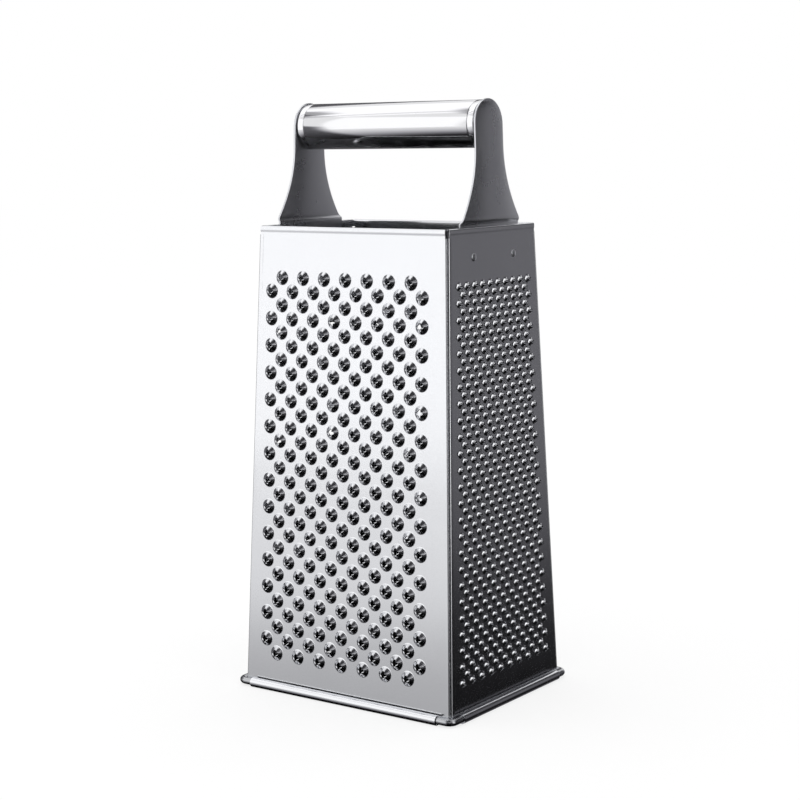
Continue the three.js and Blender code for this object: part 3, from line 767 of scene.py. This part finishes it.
class GRATER_OT_foot_wire(GraterOperator, bpy.types.Operator):
    """Builds the wire in the foot: a round section carried round a rectangle with rounded corners"""

    bl_idname = "grater.foot_wire"
    bl_label = "Foot wire"

    def execute(self, context):
        quarter = np.linspace(0, 90, 13)
        angle = np.radians(np.concatenate([quarter + 90 * turn for turn in range(4)]))
        corner = np.repeat(np.array([(1, 1), (-1, 1), (-1, -1), (1, -1)]), len(quarter), axis=0)
        half = np.array([half_width(WIRE_HEIGHT), half_depth(WIRE_HEIGHT)]) + CURL_INNER - WIRE_CORNER
        way = np.stack([np.cos(angle), np.sin(angle)], -1)
        section = arc(0, 0, WIRE_SKIN, 0, 360, 20)[:-1]
        reach = corner[:, None] * half + way[:, None] * (WIRE_CORNER + section[:, :1])
        height = np.broadcast_to(WIRE_HEIGHT + section[:, 1], reach.shape[:2])[..., None]
        skin = Skin()
        skin.add_grid(np.concatenate([reach, height], -1), True, 60.0)
        make_piece("foot_wire", skin, wire_steel(context.scene.grater_finish), ["rim_wire"])
        return {"FINISHED"}


class GRATER_OT_handle_tube(GraterOperator, bpy.types.Operator):
    """Builds the handle tube: a profile with rounded ends and a pressed line near each, turned about X"""

    bl_idname = "grater.handle_tube"
    bl_label = "Handle tube"

    def execute(self, context):
        end = half_width(HANDLE_HEIGHT + TUBE_RADIUS) - BRACKET_INSET - BRACKET_THICKNESS - FIT_GAP
        outer, inner, edge = TUBE_RADIUS, TUBE_RADIUS - TUBE_WALL, 0.45 * MM
        line = np.array([(-3.3, 0.0), (-3.05, -0.1), (-2.8, 0.0)]) * MM
        right = np.concatenate([
            (end, outer) + line, arc(end - edge, outer - edge, edge, 90, 0, 4), [(end, inner)],
        ])
        profile = np.concatenate([right, right[::-1] * (-1, 1)])
        angle = circle(80)[:, None]
        x, r = np.broadcast_arrays(profile[:, 0], angle)[0], profile[:, 1]
        skin = Skin()
        rings = np.stack([x, r * np.cos(angle), HANDLE_HEIGHT + r * np.sin(angle)], -1)
        skin.add_grid(rings, True, 40.0)
        material = tube_steel(context.scene.grater_finish)
        make_piece("handle_tube_polished", skin, material, ["handle_tube"])
        return {"FINISHED"}


class GRATER_OT_brackets(GraterOperator, bpy.types.Operator):
    """Builds both handle brackets: a bevelled strip section whose width follows the outline up the bracket
    and whose depth steps round the rim hem"""

    bl_idname = "grater.brackets"
    bl_label = "Handle brackets"

    def execute(self, context):
        # Half the outline as (half width, height): the foot's corner, the joggle, the flare and the head
        bottom, corner = RIM_HEIGHT - 19 * MM, 3 * MM
        foot = arc(BRACKET_FOOT - corner, bottom + corner, corner, -90, 0, 6)
        joggle = np.linspace(bottom + corner + 1 * MM, RIM_HEIGHT + 1.4 * MM, 40)
        joggle = np.stack([np.full_like(joggle, BRACKET_FOOT), joggle], -1)
        t = np.linspace(0, 1, 36)[:, None]
        bend = np.array([
            (BRACKET_FOOT, RIM_HEIGHT + 1.5 * MM), (BRACKET_HEAD, RIM_HEIGHT + 16 * MM),
            (BRACKET_HEAD, RIM_HEIGHT + 31 * MM),
        ])
        flare = (1 - t) ** 2 * bend[0] + 2 * t * (1 - t) * bend[1] + t**2 * bend[2]
        head = arc(0, HANDLE_HEIGHT, BRACKET_HEAD, 0, 87, 30)
        half, z = np.concatenate([foot, joggle, flare, head]).T[..., None]

        # How far the plate lies inside the panel's face: it steps in behind the hem and out over the rim
        passing = HEM_THICKNESS + FIT_GAP
        below, over, run = RIM_HEIGHT - 3.8 * MM, RIM_HEIGHT + 0.8 * MM, 2 * MM
        depth = BRACKET_SEAT + (passing - BRACKET_SEAT) * smoothstep(below - run, below, z)
        depth = depth + (BRACKET_INSET - passing) * smoothstep(over, over + run, z)

        # The section: a rectangle with three points round each bevelled corner
        bevel = np.minimum(0.14 * MM, half / 3)
        angle = np.radians(np.array([0, 45, 90, 90, 135, 180, 180, 225, 270, 270, 315, 360]))
        side_x = np.repeat([1, -1, -1, 1], 3) * (BRACKET_THICKNESS / 2 - bevel)
        side_y = np.repeat([1, 1, -1, -1], 3) * (half - bevel)
        x = half_width(z) - depth - BRACKET_THICKNESS / 2 + side_x + bevel * np.cos(angle)
        y = side_y + bevel * np.sin(angle)
        rings = np.stack([x, y, np.broadcast_to(z, x.shape)], -1)
        for name, turn in (("right", 1), ("left", -1)):
            skin = Skin()
            skin.add_sweep(rings * (turn, turn, 1), 40.0)
            material = strip_steel(context.scene.grater_finish)
            make_piece(f"bracket_strip_{name}", skin, material, [f"handle_bracket_{name}"])
        return {"FINISHED"}


class GRATER_OT_rivets(GraterOperator, bpy.types.Operator):
    """Builds the four rivets, each a domed head, a shank and a flat tail turned about X"""

    bl_idname = "grater.rivets"
    bl_label = "Rivets"

    def execute(self, context):
        head, shank, rise = 1.5 * MM, 1.2 * MM, 0.45 * MM
        tail, tail_height, brim = BRACKET_SEAT + BRACKET_THICKNESS + FIT_GAP, 0.6 * MM, 0.06 * MM
        dome = np.radians(np.linspace(2, 88, 9))
        profile = np.concatenate([
            np.stack([head * np.sin(dome), brim + rise * np.cos(dome)], -1),
            [(head, 0.0), (shank, 0.0), (shank, -tail), (head, -tail), (head, -tail - tail_height)],
        ])
        angle = circle(28)
        for name, turn in (("right", 1), ("left", -1)):
            for place, side in (("a", -1), ("b", 1)):
                x = half_width(RIVET_HEIGHT) + profile[:, 1:]
                y = side * RIVET_SPACING / 2 + profile[:, :1] * np.cos(angle)
                z = RIVET_HEIGHT + profile[:, :1] * np.sin(angle)
                skin = Skin()
                skin.add_sweep(np.stack(np.broadcast_arrays(x, y, z), -1) * (turn, turn, 1), 40.0)
                material = strip_steel(context.scene.grater_finish)
                node = f"bracket_rivet_{name}_{place}"
                make_piece(f"rivet_{name}_{place}", skin, material, [node])
        return {"FINISHED"}


class GRATER_OT_tube_cups(GraterOperator, bpy.types.Operator):
    """Finishes the cups pressed into the tube's ends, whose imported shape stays"""

    bl_idname = "grater.tube_cups"
    bl_label = "Tube cups"

    def execute(self, context):
        for name in ("right", "left"):
            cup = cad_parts[f"tube_cup_{name}"]
            cup.data.materials.clear()
            cup.data.materials.append(strip_steel(context.scene.grater_finish))
        return {"FINISHED"}


# Stage

def stage_object(name, points, faces, material):
    """A mesh of the stage, which isn't part of the grater."""
    mesh = bpy.data.meshes.new(name)
    mesh.from_pydata(points.tolist(), [], faces.tolist())
    mesh.materials.append(material)
    made = bpy.data.objects.new(name, mesh)
    bpy.context.scene.collection.objects.link(made)
    return made


def quad_grid(a, b):
    """Faces of a grid of a rows and b columns of points, closed along its columns' way."""
    index = np.arange(a * b).reshape(a, b)
    here, there = index[:-1], index[1:]
    return np.stack([here, np.roll(here, -1, 1), np.roll(there, -1, 1), there], -1).reshape(-1, 4)


def flag_shade(way):
    """How dark the room is painted in each direction, from 0 to 1: painted shade and painted highlights that
    only the steel's reflections show, standing for flags, a table, a slit of light and the gap between the
    softboxes.
    turn is the angle round the grater in degrees, from the front towards the right, and rise the height
    angle.
    Each flag is a product of smooth steps of both, and the light that passes all of them is the product of
    what each lets through."""
    turn = np.degrees(np.arctan2(way[..., 0], -way[..., 1]))
    rise = np.degrees(np.arcsin(np.clip(way[..., 2], -1, 1)))

    # The painted shade of a table below the horizon, a little paler at the right
    table = (0.98 - 0.1 * smoothstep(50, 75, turn)) * smoothstep(-4, -47, rise)

    # The painted shade of a flag at the right, up to its brow, with a painted level slit of light and the
    # upright strip left out
    brow = 26 + 26 * smoothstep(92, 122, turn)
    deep = smoothstep(-7, -17, rise) * smoothstep(-40, -26, rise) + 0.7 * smoothstep(12, 24, rise)
    level = (0.835 + 0.11 * smoothstep(147, 130, turn) + 0.15 * deep).clip(0, 0.985)
    slit = smoothstep(18, 26, turn) * smoothstep(56, 48, turn) * smoothstep(5, 2, abs(rise - 14))
    strip = smoothstep(66, 72, turn) * smoothstep(94, 88, turn) * smoothstep(-26, -16, rise)
    right = smoothstep(-6, 6, turn) * smoothstep(178, 168, turn) * smoothstep(brow + 6, brow - 6, rise)
    right = right * level * (1 - 0.9 * slit) * (1 - strip)

    # The painted shade of a round flag above the camera
    off = np.degrees(np.arccos(np.clip(way @ unit(np.array([0.26, -0.42, 0.87])), -1, 1)))
    above = 0.95 * smoothstep(34.5, 28.5, off) * (1 - strip)

    # The painted shade of a flag at the left, up to its lid, which starts nearer to the front close to the
    # table
    reach = 56 + 19 * smoothstep(0, 12, rise)
    lid = 41 - 10 * smoothstep(-92, -106, turn)
    left = smoothstep(-158, -144, turn) * smoothstep(3 - reach, -3 - reach, turn)
    left = 0.88 * left * smoothstep(lid + 3, lid - 3, rise)

    # A thin painted dark line for the gap between the softboxes at the front and overhead
    arch = np.degrees(np.arctan2(way[..., 2], -way[..., 1]))
    gap = 0.45 * smoothstep(3.5, 1, abs(arch - 60.5)) * smoothstep(-0.2, -0.35, way[..., 0])
    return 1 - (1 - table) * (1 - right) * (1 - above) * (1 - left) * (1 - gap)


def shade_mix(tree, clear):
    """A shader that is black where a point's shade is 1 and the given shader where it is 0."""
    shade = add_node(tree, "ShaderNodeAttribute", attribute_name="shade")
    black = add_node(tree, "ShaderNodeEmission", {"Color": linear("000000"), "Strength": 0.0})
    parts = {0: shade.outputs["Fac"], 1: clear, 2: black.outputs[0]}
    return add_node(tree, "ShaderNodeMixShader", parts).outputs[0]


def set_shade(stage, shade):
    """Stores how dark each point of a stage object is painted, as the steel sees it."""
    values = shade.astype(np.float32).ravel()
    stage.data.attributes.new("shade", "FLOAT", "POINT").data.foreach_set("value", values)


def place_object(made, axes, place):
    """Links a camera or lamp at a place, with its right, up and back along the given axes."""
    bpy.context.scene.collection.objects.link(made)
    turn = np.eye(4)
    turn[:3, :3] = np.stack(axes, 1)
    turn[:3, 3] = place
    made.matrix_world = Matrix(turn.tolist())


def add_camera(scene):
    """The view: a long lens to the right of the front, a little above the rim."""
    yaw, pitch, roll = math.radians(35.94), math.radians(8.08), math.radians(-0.76)
    ahead = np.array([
        -math.sin(yaw) * math.cos(pitch), math.cos(yaw) * math.cos(pitch), -math.sin(pitch),
    ])
    level = np.array([math.cos(yaw), math.sin(yaw), 0.0])
    up = np.cross(level, ahead)
    right = math.cos(roll) * level + math.sin(roll) * up
    over = math.cos(roll) * up - math.sin(roll) * level
    lens = bpy.data.cameras.new("camera")
    lens.sensor_width, lens.lens = 36.0, 82.4
    camera = bpy.data.objects.new("camera", lens)
    place_object(camera, (right, over, -ahead), (0.4313, -0.5945, 0.2212))
    scene.camera = camera


def light_room(scene, matt_strength):
    """The room: white wherever it is seen or mirrored, and of its own strength as light on matt surfaces."""
    world = scene.world or bpy.data.worlds.new("room")
    scene.world = world
    world.use_nodes = True
    tree = world.node_tree
    tree.nodes.clear()
    path = add_node(tree, "ShaderNodeLightPath")
    seen = path.outputs["Is Camera Ray"]
    for kind in ("Is Glossy Ray", "Is Transmission Ray"):
        either = {0: seen, 1: path.outputs[kind]}
        seen = add_node(tree, "ShaderNodeMath", either, operation="MAXIMUM").outputs[0]
    strength = add_node(tree, "ShaderNodeMapRange", {"Value": seen, "To Min": matt_strength, "To Max": 1.0})
    light = {"Color": linear("FFFFFF"), "Strength": strength.outputs["Result"]}
    white = add_node(tree, "ShaderNodeBackground", light)
    add_node(tree, "ShaderNodeOutputWorld", {"Surface": white.outputs["Background"]})


def lay_floor():
    """The floor: a white disc that keeps a part of its own shading, and so the shadow. Mirrored rays go
    through it to the room, with a painted shadow that darkens it near the grater. A dark patch of painted
    shade lies inside the body, where its shade falls."""
    paper, tree = blank_material("white_paper_floor")
    matt = add_node(tree, "ShaderNodeBsdfDiffuse", {"Color": linear("FFFFFF")})
    glow = add_node(tree, "ShaderNodeEmission", {"Color": linear("FFFFFF"), "Strength": 1.0})
    glow_share = 0.75
    seen = add_node(tree, "ShaderNodeMixShader", {0: glow_share, 1: matt.outputs[0], 2: glow.outputs[0]})
    mirrored = shade_mix(tree, add_node(tree, "ShaderNodeBsdfTransparent").outputs[0])
    glossy = add_node(tree, "ShaderNodeLightPath").outputs["Is Glossy Ray"]
    mixed = add_node(tree, "ShaderNodeMixShader", {0: glossy, 1: seen.outputs[0], 2: mirrored})
    add_node(tree, "ShaderNodeOutputMaterial", {"Surface": mixed.outputs[0]})
    angle = circle(64)
    radius = np.array([0.001, 0.05, 0.1, 0.15, 0.2, 0.3, 0.4, 1.0, 6.0])[:, None]
    disc = np.broadcast_arrays(radius * np.cos(angle), radius * np.sin(angle), 0 * radius)
    disc = np.stack(disc, -1).reshape(-1, 3)
    floor = stage_object("floor", disc, quad_grid(len(radius), len(angle)), paper)
    # Painted shadow that only mirrored rays see, darkest near the grater
    darkest, near, far = 0.36, 0.06, 0.35
    set_shade(floor, np.repeat(darkest * smoothstep(far, near, radius), len(angle), 1))

    # Painted shade: a dark patch of floor inside the body, standing in for the shade that falls there
    shaded, tree = blank_material("painted_shade_paper")
    dim = add_node(tree, "ShaderNodeBsdfDiffuse", {"Color": linear("2A2A2C")})
    add_node(tree, "ShaderNodeOutputMaterial", {"Surface": dim.outputs[0]})
    corner = np.array([(-1, -1, 0), (1, -1, 0), (1, 1, 0), (-1, 1, 0)])
    inside = corner * (half_width(0), half_depth(0), 0) + (0, 0, 0.05 * MM)
    stage_object("painted_shade_under_body", inside, np.array([[0, 1, 2, 3]]), shaded)


def hang_flags():
    """The flags: a dome that only mirrored rays meet, which paints shade into the steel's reflections. It is
    clear where it isn't shaded, and a painted tint makes it a little cooler as its shade grows."""
    mirrored_shade, tree = blank_material("painted_reflection_flags")
    shade = add_node(tree, "ShaderNodeAttribute", attribute_name="shade").outputs["Fac"]
    # A painted cool tint in the reflections, stronger as the painted shade grows
    cool = {"Factor": shade, "A": linear("FFFFFF"), "B": linear("F7F5FF")}
    tint = add_node(tree, "ShaderNodeMix", cool, data_type="RGBA").outputs["Result"]
    clear = add_node(tree, "ShaderNodeBsdfTransparent", {"Color": tint}).outputs[0]
    add_node(tree, "ShaderNodeOutputMaterial", {"Surface": shade_mix(tree, clear)})
    rise, angle = np.radians(np.linspace(-89.9, 89.9, 181))[:, None], circle(360)
    way = np.cos(rise) * np.cos(angle), np.cos(rise) * np.sin(angle), np.sin(rise)
    way = np.stack(np.broadcast_arrays(*way), -1).reshape(-1, 3)
    radius, middle = 4.0, (0, 0, 0.12)
    flags = stage_object("flags", radius * way + middle, quad_grid(len(rise), len(angle)), mirrored_shade)
    flags.data.polygons.foreach_set("use_smooth", np.ones(len(flags.data.polygons), dtype=bool))
    set_shade(flags, flag_shade(way))
    flags.visible_camera = flags.visible_diffuse = flags.visible_shadow = False
    flags.visible_transmission = flags.visible_volume_scatter = False


def add_softbox(name, place, aim, size, power):
    """A lamp at a place, whose back faces along aim and whose upper and lower edges are level."""
    lamp = bpy.data.lights.new(name, "AREA")
    lamp.shape, lamp.energy = "RECTANGLE", power
    lamp.size, lamp.size_y = size
    aim = unit(np.array(aim))
    side = unit(np.cross((0, 0, 1), aim))
    place_object(bpy.data.objects.new(name, lamp), (side, np.cross(aim, side), aim), place)


class GRATER_OT_stage(GraterOperator, bpy.types.Operator):
    """Builds the camera, the white room and floor, the dome of painted dark flags that only the steel
    mirrors, and the softboxes
    """

    bl_idname = "grater.stage"
    bl_label = "Stage"

    def execute(self, context):
        scene, studio = context.scene, context.scene.grater_studio
        scene.view_settings.view_transform = "Standard"
        add_camera(scene)
        light_room(scene, studio.room)
        lay_floor()
        hang_flags()
        add_softbox(
            "softbox_front", place=(-0.64, -0.97, 0.43), aim=(-0.54, -0.81, 0.26), size=(0.95, 0.95),
            power=studio.softbox,
        )
        add_softbox(
            "softbox_over", place=(-0.72, -0.16, 1.06), aim=(0, 0.1, 0.99), size=(1.1, 1.1),
            power=studio.overhead,
        )
        add_softbox(
            "softbox_strip", place=(1.18, -0.2, 0.4), aim=(0.97, -0.16, 0.2), size=(0.4, 1.0),
            power=studio.strip,
        )
        return {"FINISHED"}


class GRATER_PT_panel(bpy.types.Panel):
    """Lists the grater's operators and sizes"""

    bl_idname = "GRATER_PT_panel"
    bl_label = "Box grater"
    bl_space_type = "VIEW_3D"
    bl_region_type = "UI"
    bl_category = "Grater"

    def draw(self, context):
        for operator in OPERATORS:
            self.layout.operator(operator.bl_idname)
        for group in (context.scene.grater_teeth, context.scene.grater_finish, context.scene.grater_studio):
            box = self.layout.box()
            for name in group.__annotations__:
                box.prop(group, name)


GROUPS = {"grater_teeth": GraterTeeth, "grater_finish": GraterFinish, "grater_studio": GraterStudio}
OPERATORS = (
    GRATER_OT_stage, GRATER_OT_front_panel, GRATER_OT_right_panel, GRATER_OT_back_panel, GRATER_OT_left_panel,
    GRATER_OT_foot_wire, GRATER_OT_handle_tube, GRATER_OT_brackets, GRATER_OT_rivets, GRATER_OT_tube_cups,
)


def register():
    """Registers the classes and puts their settings on the scene."""
    for made in (*GROUPS.values(), *OPERATORS, GRATER_PT_panel):
        bpy.utils.register_class(made)
    for name, group in GROUPS.items():
        setattr(bpy.types.Scene, name, bpy.props.PointerProperty(type=group))


def unregister():
    """Takes the settings and classes away again."""
    for name in GROUPS:
        delattr(bpy.types.Scene, name)
    for made in reversed((*GROUPS.values(), *OPERATORS, GRATER_PT_panel)):
        bpy.utils.unregister_class(made)


def main():
    """Builds the stage and every piece."""
    register()
    bpy.ops.grater.stage()
    bpy.ops.grater.front_panel()
    bpy.ops.grater.right_panel()
    bpy.ops.grater.back_panel()
    bpy.ops.grater.left_panel()
    bpy.ops.grater.foot_wire()
    bpy.ops.grater.handle_tube()
    bpy.ops.grater.brackets()
    bpy.ops.grater.rivets()
    bpy.ops.grater.tube_cups()


if __name__ == "__main__":
    main()
